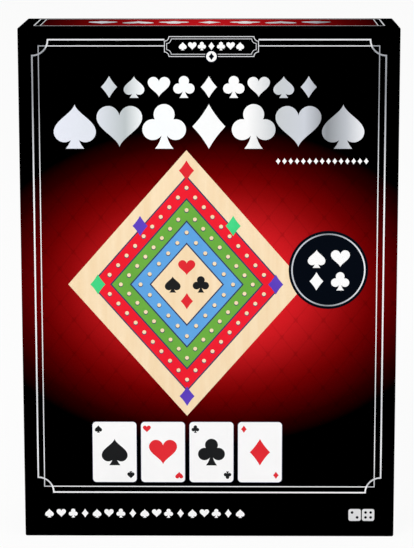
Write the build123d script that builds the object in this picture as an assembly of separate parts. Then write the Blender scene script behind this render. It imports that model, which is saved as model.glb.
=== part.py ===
"""Cribbage set in a lift-off lid box, standing on its short side.

Frame: the front cover faces -Y, +X is to its right, +Z is up, and the origin is at the middle of
the box's underside. All sizes are in millimetres. The box holds a formed tray, and the tray holds
a folding wooden board with a peg drawer in its end, a pack of cards and a leaflet of rules.
"""

from build123d import *
import os
from math import cos, pi, radians, sin, tan

# Box: two chipboard shells, each wrapped in paper that turns in over its rim. Its width and
# height follow what it holds.
BOX_DEPTH = 64.0
CHIPBOARD = 1.5
PAPER = 0.2
PAPER_CORNER = 0.8
TURN_IN = 15.0
LID_GAP = 0.4
LID_REVEAL = 1.0
LID_SEAT_GAP = 0.3

# Tray: one sheet, formed over a tool, so every wall has a draft.
SHEET = 0.8
TRAY_GAP = 0.5
TRAY_CORNER = 5.0
TRAY_RECESS = 3.0
SKIRT_DRAFT = 1.0
WELL_DRAFT = 2.0
WELL_CORNER = 3.0
LAND = 7.0
SEAT_GAP = 0.3
SIDE_GAP = 0.5
CONTENT_RECESS = 1.0
SWING_GAP = 3.0
WELL_RIB = 12.5
DRAWER_RUN = 49.0
DRAWER_RUN_WIDTH = 70.0
CORNER_STEPS = 3
SCOOP_RADIUS = 11.0
RIB_WIDTH = 8.0
RIB_LENGTH = 52.0
RIB_DEPTH = 3.0
RIB_PITCH = 18.0
RIB_COUNT = 4

# Small turned pieces have this many flat sides.
SMALL_SIDES = 8

# Board: two halves that fold with their tracks outwards.
HALF_WIDTH = 96.5
HALF_LENGTH = 199.5
HALF_THICKNESS = 18.0
FOLD_GAP = 0.5
BOARD_CORNER = 8.0
TRACK_EDGE = 4.0

# Track: three lanes that run up one side, over, down, round and up the middle.
LANE_PITCH = 6.8
COLUMN_PITCH = 4.07 * LANE_PITCH
HOLE_RADIUS = 1.5
HOLE_DEPTH = 8.0
HOLE_SIDES = 5
HOLES_IN_GROUP = 5
GROUP_LENGTH = 5.6 * LANE_PITCH
FIRST_HOLE = 0.8 * LANE_PITCH
FAR_GROUPS = 4
NEAR_GROUPS = 3
START_HOLES = 2

# Hinges: two brass butt hinges let into the inner faces at the fold.
HINGE_LENGTH = 22.0
HINGE_REACH = 9.5
HINGE_SPACING = 54.0
LEAF = 0.9
KNUCKLE_RADIUS = 1.7
KNUCKLE_GAP = 0.2
AXIS_RISE = 0.3
PIN_RADIUS = 0.8
PIN_CLEARANCE = 0.04
WOOD_RELIEF = 0.2
MORTISE_GAP = 0.1
SCREW_SPACING = 12.0
SCREW_LINE = 5.8
SCREW_HEAD_RADIUS = 1.5
SCREW_RADIUS = 0.75
SCREW_LENGTH = 6.0

# Peg drawer: slides out of the back half's free end on two tongues.
DRAWER_WIDTH = 60.0
DRAWER_LENGTH = 54.0
DRAWER_HEIGHT = 8.7
DRAWER_GAP = 0.2
DRAWER_FLOOR = 1.5
DRAWER_WALL = 2.0
DRAWER_FRONT = 6.0
DRAWER_BAYS = 3
TONGUE = 1.8
TONGUE_RISE = 3.2
TONGUE_TIP_GAP = 0.4
NAIL_GROOVE_WIDTH = 26.0
NAIL_GROOVE_DEPTH = 1.6
NAIL_GROOVE_HEIGHT = 3.0

# Pegs: turned and moulded, two of each colour.
PEG_LENGTH = 25.0
PEG_SHANK_RADIUS = 1.4
PEG_TIP_RADIUS = 1.1
PEG_SHANK_LENGTH = 10.0
PEG_COLLAR_RADIUS = 2.2
PEG_NECK_RADIUS = 1.3
PEG_HEAD_RADIUS = 2.55
PEG_SPACING = 8.4
PEG_SEAT_GAP = 0.2

# Cards and rules.
CARD_WIDTH = 63.5
CARD_HEIGHT = 88.9
CARD_CORNER = 3.5
CARD_THICKNESS = 0.3
CARD_COUNT = 54
BAND_WIDTH = 30.0
BAND_PAPER = 0.2
LEAFLET_WIDTH = 120.0
LEAFLET_HEIGHT = 175.0
LEAFLET_THICKNESS = 0.8
LEAFLET_SLIT = 0.2

# Depths worked out from the sizes above, front to back.
FRONT = -BOX_DEPTH / 2
BACK = BOX_DEPTH / 2
LID_RIM = BACK - LID_REVEAL
LID_INSIDE = FRONT + PAPER + CHIPBOARD
BASE_RIM = LID_INSIDE + LID_SEAT_GAP
BASE_INSIDE = BACK - PAPER - CHIPBOARD
TRAY_TOP = BASE_RIM + TRAY_RECESS
CONTENT_FRONT = TRAY_TOP + CONTENT_RECESS
FOLDED = 2 * HALF_THICKNESS + FOLD_GAP
BOARD_MIDDLE = CONTENT_FRONT + FOLDED / 2
BOARD_BACK = CONTENT_FRONT + FOLDED
BOARD_FLOOR = BOARD_BACK + SEAT_GAP

# Widths and heights, from the contents outwards.
FLARE = (BOARD_FLOOR - TRAY_TOP) * tan(radians(WELL_DRAFT))
SKIRT_LEAN = (BASE_INSIDE - TRAY_TOP) * tan(radians(SKIRT_DRAFT))
EDGE = LAND + SKIRT_LEAN + FLARE
BOARD_WELL_WIDTH = HALF_WIDTH + 2 * SIDE_GAP
BOARD_WELL_HEIGHT = SEAT_GAP + HALF_LENGTH + SWING_GAP
DECK_WELL_WIDTH = CARD_WIDTH + 2 * (BAND_PAPER + SIDE_GAP)
DECK_WELL_HEIGHT = CARD_HEIGHT + 2 * SIDE_GAP
TRAY_WIDTH = BOARD_WELL_WIDTH + WELL_RIB + DECK_WELL_WIDTH + 2 * EDGE
TRAY_HEIGHT = DRAWER_RUN + BOARD_WELL_HEIGHT + 2 * EDGE
SHELL_WALL = PAPER + CHIPBOARD + PAPER
BASE_WIDTH = TRAY_WIDTH + 2 * (TRAY_GAP + SHELL_WALL)
BASE_HEIGHT = TRAY_HEIGHT + 2 * (TRAY_GAP + SHELL_WALL)
BOX_WIDTH = BASE_WIDTH + 2 * (LID_GAP + SHELL_WALL)
BOX_HEIGHT = BASE_HEIGHT + 2 * (LID_GAP + SHELL_WALL)
MIDDLE = BOX_HEIGHT / 2

BOARD_X = -TRAY_WIDTH / 2 + EDGE + BOARD_WELL_WIDTH / 2
RUN_BOTTOM = MIDDLE - TRAY_HEIGHT / 2 + EDGE
BOARD_BOTTOM = RUN_BOTTOM + DRAWER_RUN + SEAT_GAP
BOARD_TOP = BOARD_BOTTOM + HALF_LENGTH
AXIS_Z = BOARD_TOP + AXIS_RISE
HINGE_XS = (BOARD_X - HINGE_SPACING / 2, BOARD_X + HINGE_SPACING / 2)
BORE_RADIUS = PIN_RADIUS + PIN_CLEARANCE

DECK_THICKNESS = CARD_COUNT * CARD_THICKNESS
DECK_FRONT = CONTENT_FRONT + BAND_PAPER
DECK_BACK = DECK_FRONT + DECK_THICKNESS
DECK_FLOOR = DECK_BACK + BAND_PAPER + SEAT_GAP
DECK_X = TRAY_WIDTH / 2 - EDGE - DECK_WELL_WIDTH / 2
DECK_Z = MIDDLE + TRAY_HEIGHT / 2 - EDGE - 2 * SCOOP_RADIUS - CARD_HEIGHT / 2


def block(x0, x1, y0, y1, z0, z1):
    """Box between two corners."""
    centre = Pos((x0 + x1) / 2, (y0 + y1) / 2, (z0 + z1) / 2)
    return centre * Box(x1 - x0, y1 - y0, z1 - z0)


def face_plane(y):
    """Plane parallel to the cover at depth y, seen from the front: local y is up."""
    return Plane(origin=(0, y, 0), x_dir=(1, 0, 0), z_dir=(0, -1, 0))


def panel(x, z, width, height, corner, y_front, y_back, taper=0.0):
    """Rectangle whose corners are rounded in short flats, extruded from y_back to the front."""
    flats = [i / CORNER_STEPS * pi / 2 for i in range(CORNER_STEPS + 1)]
    points = []
    for turn, (right, top) in enumerate(((1, 1), (-1, 1), (-1, -1), (1, -1))):
        centre_x = x + right * (width / 2 - corner)
        centre_z = z + top * (height / 2 - corner)
        angles = [turn * pi / 2 + flat for flat in flats]
        points += [(centre_x + corner * cos(a), centre_z + corner * sin(a)) for a in angles]
    outline = make_face(Polyline(*points, close=True))
    return extrude(face_plane(y_back) * outline, y_back - y_front, taper=taper)


def folded_block(width, height, y_closed, y_open, corner):
    """Block about the box's middle, with every edge eased except at its open end."""
    low, high = min(y_closed, y_open), max(y_closed, y_open)
    solid = block(-width / 2, width / 2, low, high, MIDDLE - height / 2, MIDDLE + height / 2)
    edges = [edge for edge in solid.edges() if abs(edge.center().Y - y_open) > corner / 2]
    return chamfer(edges, corner)


def wrapped_shell(width, height, y_closed, y_rim):
    """One half of the box: its chipboard shell and the paper glued round it."""
    inward = 1 if y_rim > y_closed else -1

    def room(thickness, y_from, y_to):
        half_width = width / 2 - thickness
        half_height = height / 2 - thickness
        low, high = min(y_from, y_to), max(y_from, y_to)
        return block(-half_width, half_width, low, high, MIDDLE - half_height, MIDDLE + half_height)

    past_rim = y_rim + inward
    floor = y_closed + inward * (PAPER + CHIPBOARD)
    board_rim = y_rim - inward * PAPER
    turned = board_rim - inward * TURN_IN
    board_corner = PAPER_CORNER - PAPER * (2 - 2**0.5)
    board_closed = y_closed + inward * PAPER
    board = folded_block(width - 2 * PAPER, height - 2 * PAPER, board_closed, board_rim, board_corner)
    board -= room(PAPER + CHIPBOARD, floor, past_rim)
    wrap = folded_block(width, height, y_closed, y_rim, PAPER_CORNER)
    wrap -= room(PAPER + CHIPBOARD, floor, turned)
    wrap -= room(SHELL_WALL, turned, past_rim)
    wrap -= board
    return board, wrap


def wells(grow):
    """Space formed into the tray, or with grow its outer side, one sheet thickness further out."""
    past_top = TRAY_TOP - 1

    def well(x, z, width, height, floor, corner=WELL_CORNER):
        return panel(
            x, z, width + 2 * grow, height + 2 * grow, corner + grow, past_top, floor + grow, -WELL_DRAFT
        )

    board_z = BOARD_BOTTOM - SEAT_GAP + BOARD_WELL_HEIGHT / 2
    space = well(BOARD_X, board_z, BOARD_WELL_WIDTH, BOARD_WELL_HEIGHT, BOARD_FLOOR)
    run_height = DRAWER_RUN + 4 * WELL_CORNER
    run_z = RUN_BOTTOM + run_height / 2
    space += well(BOARD_X, run_z, DRAWER_RUN_WIDTH, run_height, BOARD_FLOOR)
    space += well(DECK_X, DECK_Z, DECK_WELL_WIDTH, DECK_WELL_HEIGHT, DECK_FLOOR)
    scoop = 2 * SCOOP_RADIUS
    for side in (-1, 1):
        z = DECK_Z + side * CARD_HEIGHT / 2
        space += well(DECK_X, z, scoop, scoop, DECK_FLOOR, 0.9 * SCOOP_RADIUS)
    rib_top = DECK_Z - CARD_HEIGHT / 2 - 3 * SCOOP_RADIUS
    for index in range(RIB_COUNT):
        z = rib_top - index * RIB_PITCH
        space += well(DECK_X, z, RIB_LENGTH, RIB_WIDTH, TRAY_TOP + RIB_DEPTH)
    return space


def insert_tray():
    height = BASE_INSIDE - TRAY_TOP
    outer = panel(0, MIDDLE, TRAY_WIDTH, TRAY_HEIGHT, TRAY_CORNER, TRAY_TOP, BASE_INSIDE, SKIRT_DRAFT)
    inner_width = TRAY_WIDTH - 2 * SHEET
    inner_height = TRAY_HEIGHT - 2 * SHEET
    inner_top = BASE_INSIDE - (height - SHEET)
    inner = panel(
        0, MIDDLE, inner_width, inner_height, TRAY_CORNER - SHEET, inner_top, BASE_INSIDE, SKIRT_DRAFT
    )
    return outer - wells(0) - (inner - wells(SHEET))


def lane_holes(lane):
    """Hole centres of one lane, 0 the outermost, as (across, along) from the middle of the fold."""
    offset = (1 - lane) * LANE_PITCH
    far_end = FAR_GROUPS * GROUP_LENGTH
    near_end = -NEAR_GROUPS * GROUP_LENGTH
    steps = [FIRST_HOLE + index * LANE_PITCH for index in range(HOLES_IN_GROUP)]
    runs = [near_end + group * GROUP_LENGTH for group in range(NEAR_GROUPS + FAR_GROUPS)]
    holes = []
    for across in (-COLUMN_PITCH - offset, COLUMN_PITCH + offset, -offset):
        holes += [(across, run + step) for run in runs for step in steps]
    far_radius = COLUMN_PITCH + offset
    for quarter in range(2):
        for step in steps:
            angle = (quarter + step / GROUP_LENGTH) * pi / 2
            holes.append((-far_radius * cos(angle), far_end + far_radius * sin(angle)))
    near_radius = COLUMN_PITCH / 2 + offset
    for step in steps:
        angle = step / GROUP_LENGTH * pi
        holes.append((COLUMN_PITCH / 2 + near_radius * cos(angle), near_end - near_radius * sin(angle)))
    for index in range(START_HOLES):
        holes.append((-COLUMN_PITCH - offset, near_end - FIRST_HOLE - index * LANE_PITCH))
    return holes


def peg_holes(is_far):
    """Blind holes of one half, sunk from its track face."""
    holes = [hole for lane in range(3) for hole in lane_holes(lane)]
    holes.append((0, FAR_GROUPS * GROUP_LENGTH + FIRST_HOLE))
    face = CONTENT_FRONT - 1 if is_far else BOARD_BACK + 1
    floor = CONTENT_FRONT + HOLE_DEPTH if is_far else BOARD_BACK - HOLE_DEPTH
    places = [
        Pos(BOARD_X - across, BOARD_TOP - abs(along)) for across, along in holes if (along > 0) == is_far
    ]
    outline = RegularPolygon(HOLE_RADIUS, HOLE_SIDES)
    plane = face_plane(max(face, floor))
    return [extrude(plane * place * outline, abs(face - floor)) for place in places]


def board_half(is_far):
    """Solid wood half, its track face rounded over, with mortises for the two hinges."""
    inner = BOARD_MIDDLE - FOLD_GAP / 2 if is_far else BOARD_MIDDLE + FOLD_GAP / 2
    track = CONTENT_FRONT if is_far else BOARD_BACK
    left, right = BOARD_X - HALF_WIDTH / 2, BOARD_X + HALF_WIDTH / 2
    half = block(left, right, min(inner, track), max(inner, track), BOARD_BOTTOM, BOARD_TOP)
    corners = [
        edge for edge in half.edges().filter_by(Axis.Y) if edge.center().Z < BOARD_BOTTOM + 1
    ]
    half = fillet(corners, BOARD_CORNER)
    over = [
        edge
        for edge in half.edges()
        if abs(edge.center().Y - track) < 0.1 and edge.center().Z < BOARD_TOP - 0.1
    ]
    half = fillet(over, TRACK_EDGE)
    half -= peg_holes(is_far)
    for x in HINGE_XS:
        half -= hinge_room(x, is_far)
        half -= hinge_screws(x, is_far)
    return half


def turned(rings):
    """Small turned piece in flats, from (rise, radius) rings, standing on the XY plane."""
    turns = [2 * pi * side / SMALL_SIDES for side in range(SMALL_SIDES)]
    loops = [[(radius * cos(a), radius * sin(a), rise) for a in turns] for rise, radius in rings]
    faces = [Face(Wire.make_polygon(loop)) for loop in (loops[0], loops[-1])]
    for low, high in zip(loops, loops[1:]):
        for side in range(SMALL_SIDES):
            flat = [low[side - 1], low[side], high[side], high[side - 1]]
            faces.append(Face(Wire.make_polygon(flat)))
    return Solid(Shell(faces))


def side_of(is_far):
    """Which way a leaf lies from the fold: towards the front for the far half."""
    return -1 if is_far else 1


def slab(x0, x1, y_near, y_far, z0, z1):
    """Block whose two depths may come in either order."""
    return block(x0, x1, min(y_near, y_far), max(y_near, y_far), z0, z1)


def rod(x0, x1, radius):
    """Cylinder along the hinge axis."""
    plane = Plane(origin=(x0, BOARD_MIDDLE, AXIS_Z), x_dir=(0, 1, 0), z_dir=(1, 0, 0))
    return extrude(plane * Circle(radius), x1 - x0)


def hinge_room(x, is_far):
    """Mortise for one leaf, and the hollow that clears the knuckles."""
    side = side_of(is_far)
    inner = BOARD_MIDDLE + side * FOLD_GAP / 2
    reach = HINGE_LENGTH / 2 + MORTISE_GAP
    low = AXIS_Z - HINGE_REACH - MORTISE_GAP
    mortise = slab(x - reach, x + reach, inner - side, inner + side * LEAF, low, AXIS_Z + 1)
    return mortise + rod(x - reach, x + reach, KNUCKLE_RADIUS + WOOD_RELIEF)


def hinge_screws(x, is_far):
    """Two countersunk screws through one leaf into the wood."""
    side = side_of(is_far)
    inner = BOARD_MIDDLE + side * FOLD_GAP / 2
    screw = turned([(0, SCREW_HEAD_RADIUS), (LEAF, SCREW_RADIUS), (SCREW_LENGTH, SCREW_RADIUS)])
    places = [x + place * SCREW_SPACING / 2 for place in (-1, 1)]
    height = AXIS_Z - SCREW_LINE
    planes = [Plane(origin=(x, inner, height), x_dir=(1, 0, 0), z_dir=(0, side, 0)) for x in places]
    return [plane * screw for plane in planes]


def hinge_leaf(x, is_far):
    """Brass leaf with its knuckles: the outer two on the near half, the middle one on the far."""
    side = side_of(is_far)
    inner = BOARD_MIDDLE + side * FOLD_GAP / 2
    half = HINGE_LENGTH / 2
    clear = AXIS_Z - KNUCKLE_RADIUS - KNUCKLE_GAP
    leaf = slab(x - half, x + half, inner, inner + side * LEAF, AXIS_Z - HINGE_REACH, clear)
    knuckle = (HINGE_LENGTH - 2 * KNUCKLE_GAP) / 3
    starts = [x - half + index * (knuckle + KNUCKLE_GAP) for index in range(3)]
    for start in starts[1:2] if is_far else starts[0::2]:
        end = start + knuckle
        leaf += slab(start, end, inner, inner + side * LEAF, clear - 1, AXIS_Z)
        leaf += rod(start, end, KNUCKLE_RADIUS)
    leaf -= rod(x - half - 1, x + half + 1, BORE_RADIUS)
    for screw in hinge_screws(x, is_far):
        leaf -= screw
    return leaf


def hinge_pin(x):
    return rod(x - HINGE_LENGTH / 2, x + HINGE_LENGTH / 2, PIN_RADIUS)


def drawer_profile(half_width, depth, tongue_reach, tongue_low, tongue_high, z1):
    """Drawer or pocket section swept up from the board's free end."""
    inner = BOARD_MIDDLE + FOLD_GAP / 2
    body = block(BOARD_X - half_width, BOARD_X + half_width, inner, inner + depth, BOARD_BOTTOM, z1)
    reach = half_width + tongue_reach
    return body + block(
        BOARD_X - reach, BOARD_X + reach, inner + tongue_low, inner + tongue_high, BOARD_BOTTOM, z1
    )


def drawer_pocket():
    """Pocket with side grooves, worked from the back half's inner face."""
    pocket = drawer_profile(
        DRAWER_WIDTH / 2 + DRAWER_GAP,
        DRAWER_HEIGHT + 1.5 * DRAWER_GAP,
        TONGUE - DRAWER_GAP + TONGUE_TIP_GAP,
        TONGUE_RISE - DRAWER_GAP,
        TONGUE_RISE + TONGUE + DRAWER_GAP,
        BOARD_BOTTOM + DRAWER_LENGTH + SEAT_GAP,
    )
    mouth = block(
        BOARD_X - DRAWER_WIDTH / 2 - DRAWER_GAP,
        BOARD_X + DRAWER_WIDTH / 2 + DRAWER_GAP,
        BOARD_MIDDLE,
        BOARD_MIDDLE + FOLD_GAP,
        BOARD_BOTTOM,
        BOARD_BOTTOM + DRAWER_LENGTH + SEAT_GAP,
    )
    return pocket + mouth


BAY_WIDTH = (DRAWER_WIDTH - (DRAWER_BAYS + 1) * DRAWER_WALL) / DRAWER_BAYS
BAY_XS = [
    BOARD_X + (index - (DRAWER_BAYS - 1) / 2) * (BAY_WIDTH + DRAWER_WALL) for index in range(DRAWER_BAYS)
]
DRAWER_FLOOR_Y = BOARD_MIDDLE + FOLD_GAP / 2 + DRAWER_FLOOR
BAY_LOW = BOARD_BOTTOM + DRAWER_FRONT


def peg_drawer():
    inner = BOARD_MIDDLE + FOLD_GAP / 2
    top = BOARD_BOTTOM + DRAWER_LENGTH
    drawer = drawer_profile(
        DRAWER_WIDTH / 2, DRAWER_HEIGHT, TONGUE, TONGUE_RISE, TONGUE_RISE + TONGUE, top
    )
    for x in BAY_XS:
        drawer -= panel(
            x,
            (BAY_LOW + top - DRAWER_WALL) / 2,
            BAY_WIDTH,
            top - DRAWER_WALL - BAY_LOW,
            DRAWER_WALL,
            DRAWER_FLOOR_Y,
            inner + DRAWER_HEIGHT + 1,
        )
    groove_y = inner + DRAWER_HEIGHT / 2
    drawer -= block(
        BOARD_X - NAIL_GROOVE_WIDTH / 2,
        BOARD_X + NAIL_GROOVE_WIDTH / 2,
        groove_y - NAIL_GROOVE_HEIGHT / 2,
        groove_y + NAIL_GROOVE_HEIGHT / 2,
        BOARD_BOTTOM - 1,
        BOARD_BOTTOM + NAIL_GROOVE_DEPTH,
    )
    return drawer


def peg(x):
    """Turned peg: tapered shank, collar, waist and a drop-shaped head."""
    head = PEG_LENGTH - PEG_SHANK_LENGTH
    rings = [
        (0, PEG_TIP_RADIUS),
        (PEG_SHANK_LENGTH, PEG_SHANK_RADIUS),
        (PEG_SHANK_LENGTH + 0.05 * head, PEG_COLLAR_RADIUS),
        (PEG_SHANK_LENGTH + 0.15 * head, PEG_COLLAR_RADIUS),
        (PEG_SHANK_LENGTH + 0.28 * head, PEG_NECK_RADIUS),
        (PEG_SHANK_LENGTH + 0.4 * head, PEG_NECK_RADIUS),
        (PEG_SHANK_LENGTH + 0.62 * head, PEG_HEAD_RADIUS),
        (PEG_SHANK_LENGTH + 0.8 * head, 0.8 * PEG_HEAD_RADIUS),
        (PEG_LENGTH, 0.2 * PEG_HEAD_RADIUS),
    ]
    y = DRAWER_FLOOR_Y + PEG_HEAD_RADIUS + PEG_SEAT_GAP
    return Pos(x, y, BAY_LOW + PEG_SEAT_GAP) * turned(rings)


def playing_cards():
    return panel(DECK_X, DECK_Z, CARD_WIDTH, CARD_HEIGHT, CARD_CORNER, DECK_FRONT, DECK_BACK)


def deck_band():
    """Paper band round the middle of the pack."""
    half = CARD_WIDTH / 2
    low, high = DECK_Z - BAND_WIDTH / 2, DECK_Z + BAND_WIDTH / 2
    outer = block(
        DECK_X - half - BAND_PAPER,
        DECK_X + half + BAND_PAPER,
        DECK_FRONT - BAND_PAPER,
        DECK_BACK + BAND_PAPER,
        low,
        high,
    )
    return outer - block(DECK_X - half, DECK_X + half, DECK_FRONT, DECK_BACK, low - 1, high + 1)


def rules_leaflet():
    """Rules, folded once, standing on the base's lower wall in front of the tray."""
    low = MIDDLE - BASE_HEIGHT / 2 + SHELL_WALL + SEAT_GAP
    back = TRAY_TOP - SEAT_GAP
    front = back - LEAFLET_THICKNESS
    half = LEAFLET_WIDTH / 2
    middle = (front + back) / 2
    fold = (LEAFLET_THICKNESS - LEAFLET_SLIT) / 2
    sheet = block(-half, half, front, back, low, low + LEAFLET_HEIGHT)
    slit_front, slit_back = middle - LEAFLET_SLIT / 2, middle + LEAFLET_SLIT / 2
    slit = block(-half + fold, half + 1, slit_front, slit_back, low - 1, low + LEAFLET_HEIGHT + 1)
    return sheet - slit


def build():
    lid_board, lid_wrap = wrapped_shell(BOX_WIDTH, BOX_HEIGHT, FRONT, LID_RIM)
    base_board, base_wrap = wrapped_shell(BASE_WIDTH, BASE_HEIGHT, BACK, BASE_RIM)
    left, right = HINGE_XS
    pegs = [(x - PEG_SPACING / 2, x + PEG_SPACING / 2) for x in BAY_XS]
    return {
        "lid_board": lid_board,
        "lid_wrap": lid_wrap,
        "base_board": base_board,
        "base_wrap": base_wrap,
        "insert_tray": insert_tray(),
        "rules_leaflet": rules_leaflet(),
        "board_half_back": board_half(False) - drawer_pocket(),
        "board_half_front": board_half(True),
        "hinge_left_leaf_back": hinge_leaf(left, False),
        "hinge_left_leaf_front": hinge_leaf(left, True),
        "hinge_right_leaf_back": hinge_leaf(right, False),
        "hinge_right_leaf_front": hinge_leaf(right, True),
        "hinge_left_pin": hinge_pin(left),
        "hinge_right_pin": hinge_pin(right),
        "hinge_screws_back": Compound(hinge_screws(left, False) + hinge_screws(right, False)),
        "hinge_screws_front": Compound(hinge_screws(left, True) + hinge_screws(right, True)),
        "peg_drawer": peg_drawer(),
        "pegs_red": Compound([peg(x) for x in pegs[0]]),
        "pegs_green": Compound([peg(x) for x in pegs[1]]),
        "pegs_purple": Compound([peg(x) for x in pegs[2]]),
        "playing_cards": playing_cards(),
        "deck_band": deck_band(),
    }


os.makedirs("parts", exist_ok=True)
for name, shape in build().items():
    export_step(shape, f"parts/{name}.step")
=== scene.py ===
from functools import partialmethod
from math import cos, hypot, pi, radians, sin, sqrt

import bmesh
import bpy
from mathutils import Matrix, Vector


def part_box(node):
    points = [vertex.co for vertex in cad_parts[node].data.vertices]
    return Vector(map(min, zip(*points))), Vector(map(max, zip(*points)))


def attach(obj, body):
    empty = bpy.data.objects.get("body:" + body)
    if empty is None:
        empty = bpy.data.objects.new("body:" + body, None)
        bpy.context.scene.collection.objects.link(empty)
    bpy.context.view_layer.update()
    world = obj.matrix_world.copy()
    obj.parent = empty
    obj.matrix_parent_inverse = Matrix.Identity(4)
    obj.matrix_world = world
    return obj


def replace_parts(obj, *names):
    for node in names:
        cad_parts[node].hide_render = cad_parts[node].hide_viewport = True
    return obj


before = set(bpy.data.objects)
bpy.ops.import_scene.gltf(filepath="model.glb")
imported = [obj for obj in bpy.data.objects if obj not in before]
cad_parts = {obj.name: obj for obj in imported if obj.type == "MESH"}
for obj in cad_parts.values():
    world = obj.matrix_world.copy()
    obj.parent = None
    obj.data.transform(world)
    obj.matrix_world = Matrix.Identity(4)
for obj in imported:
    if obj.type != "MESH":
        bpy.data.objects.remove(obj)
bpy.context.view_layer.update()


# ---------------- chipboard shells
# Both halves of the box are scored greyboard, folded up into trays. It is recycled fibre, so its
# bare inside is a warm grey with dark and pale flecks and a felt-like surface.
MM = 0.001


class Term:
    """A value in a node tree. Sums written with it become Math nodes."""

    def __init__(self, nodes, socket):
        self.nodes, self.socket = nodes, socket

    def math(self, operation, *others, turned=False):
        terms = (*others, self) if turned else (self, *others)
        return self.nodes.node("ShaderNodeMath", {"operation": operation}, dict(enumerate(terms)))

    __add__ = __radd__ = partialmethod(math, "ADD")
    __sub__ = partialmethod(math, "SUBTRACT")
    __rsub__ = partialmethod(math, "SUBTRACT", turned=True)
    __mul__ = partialmethod(math, "MULTIPLY")
    __truediv__ = partialmethod(math, "DIVIDE")
    __pow__ = partialmethod(math, "POWER")
    __abs__ = partialmethod(math, "ABSOLUTE")
    above = partialmethod(math, "GREATER_THAN")
    below = partialmethod(math, "LESS_THAN")
    least = partialmethod(math, "MINIMUM")
    most = partialmethod(math, "MAXIMUM")
    fraction = partialmethod(math, "FRACT")

    def within(self, low, high):
        """How far this term is from the nearer of two limits round it."""
        return (self - low).least(high - self)

    def ramp(self, start, end, low=0.0, high=1.0):
        """Smooth climb from low to high while this term goes from start to end."""
        settings = {"interpolation_type": "SMOOTHSTEP", "clamp": True}
        inputs = {0: self, 1: start, 2: end, 3: low, 4: high}
        return self.nodes.node("ShaderNodeMapRange", settings, inputs)


def srgb(code):
    """Colour that a socket takes for a #RRGGBB code."""
    parts = [int(code[i:i + 2], 16) / 255 for i in (1, 3, 5)]
    linear = [p / 12.92 if p <= 0.04045 else ((p + 0.055) / 1.055) ** 2.4 for p in parts]
    return (*linear, 1.0)


class Nodes:
    """A node tree, and the one way in which its nodes are made."""

    prefix = "ShaderNode"

    def __init__(self, tree):
        self.tree = tree

    def node(self, kind, settings=None, inputs=None, output=0):
        named_in_full = kind.startswith(("ShaderNode", "FunctionNode"))
        made = self.tree.nodes.new(kind if named_in_full else self.prefix + kind)
        for setting, value in (settings or {}).items():
            if setting == "stops":
                for _ in value[2:]:
                    made.color_ramp.elements.new(0.5)
                for stop, (place, code) in zip(made.color_ramp.elements, value):
                    stop.position, stop.color = place, srgb(code)
            else:
                setattr(made, setting, value)
        for socket, value in (inputs or {}).items():
            self.feed(made.inputs[socket], value)
        return Term(self, made.outputs[output])

    def feed(self, socket, value):
        for one in value if isinstance(value, list) else [value]:
            if isinstance(one, Term):
                self.tree.links.new(one.socket, socket)
            else:
                socket.default_value = srgb(one) if isinstance(one, str) else one


class Surface(Nodes):
    """One finish, with these constants on its shader."""

    def __init__(self, name, **constants):
        self.material = bpy.data.materials.new(name)
        self.material.use_nodes = True
        super().__init__(self.material.node_tree)
        self.shader = self.tree.nodes["Principled BSDF"]
        self.set(**constants)

    def place(self):
        """Object coordinates in millimetres."""
        vector = self.node("TexCoord", output="Object")
        parts = self.node("SeparateXYZ", inputs={0: vector})
        return [Term(self, output) * 1000.0 for output in parts.socket.node.outputs]

    def noise(self, scale, detail=3.0, rough=0.5, stretch=(1, 1, 1)):
        vector = self.node("TexCoord", output="Object")
        vector = self.node("Mapping", inputs={"Vector": vector, "Scale": stretch})
        inputs = {"Vector": vector, "Scale": scale, "Detail": detail, "Roughness": rough}
        return self.node("TexNoise", inputs=inputs)

    def mix(self, factor, first, second):
        return self.node("Mix", {"data_type": "RGBA"}, {0: factor, 6: first, 7: second}, output=2)

    def stops(self, factor, *stops):
        return self.node("ValToRGB", {"stops": stops}, {0: factor})

    def set(self, **inputs):
        for socket, value in inputs.items():
            self.feed(self.shader.inputs[socket.replace("_", " ")], value)

    def paint(self, *mixed):
        self.set(Base_Color=self.mix(*mixed))

    def mottle(self, first, second, *noise):
        """Colour that drifts between two, by a noise that is given back."""
        drift = self.noise(*noise)
        self.paint(drift, first, second)
        return drift

    def bump(self, height, distance, soft_edge=0.0):
        """Relief this deep in metres, and edges that look rounded by soft_edge."""
        inputs = {"Height": height, "Distance": distance}
        if soft_edge:
            inputs["Normal"] = self.node("Bevel", {"samples": 4}, {"Radius": soft_edge})
        self.set(Normal=self.node("Bump", inputs=inputs))


def dress(node, surface):
    """Gives a carried-over CAD solid its finish."""
    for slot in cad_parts[node].material_slots:
        slot.material = surface.material


greyboard = Surface("greyboard", Roughness=0.9, Specular_IOR_Level=0.2)
fibres = greyboard.noise(900.0, 4.0, 0.7, (1, 3, 0.35))
flecks = greyboard.noise(1500.0, 2.0).ramp(0.66, 0.72)
pale_flecks = greyboard.noise(1100.0, 2.0).ramp(0.68, 0.74)
grey = greyboard.mix(greyboard.noise(40.0), "#8F8A80", "#A39D92")
grey = greyboard.mix(fibres * 0.35, grey, "#6F6A62")
grey = greyboard.mix(flecks * 0.6, grey, "#4A4640")
greyboard.paint(pale_flecks * 0.5, grey, "#C9C4B8")
greyboard.bump(fibres, 0.00008)
for board in ("base_board", "lid_board"):
    dress(board, greyboard)


# ---------------- base wrap
# Black paper printed solid and matt laminated, glued round the base shell. Its folds are rounded
# by the board under them, and it turns in over the rim by a finger's width.
PAPER, CHIPBOARD, TURN_IN = 0.2, 1.5, 15.0
FOLD_RADIUS, LIP_RADIUS, SHARPEST = 0.9, 0.4, 0.05
FLAP_REACH = 12.0
QUARTER = pi / 2
QUADRANTS = ((1, 1), (-1, 1), (-1, -1), (1, -1))


def limits(node):
    """Lowest and highest corner of a CAD node in millimetres."""
    return [Vector(corner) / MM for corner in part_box(node)]


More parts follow.
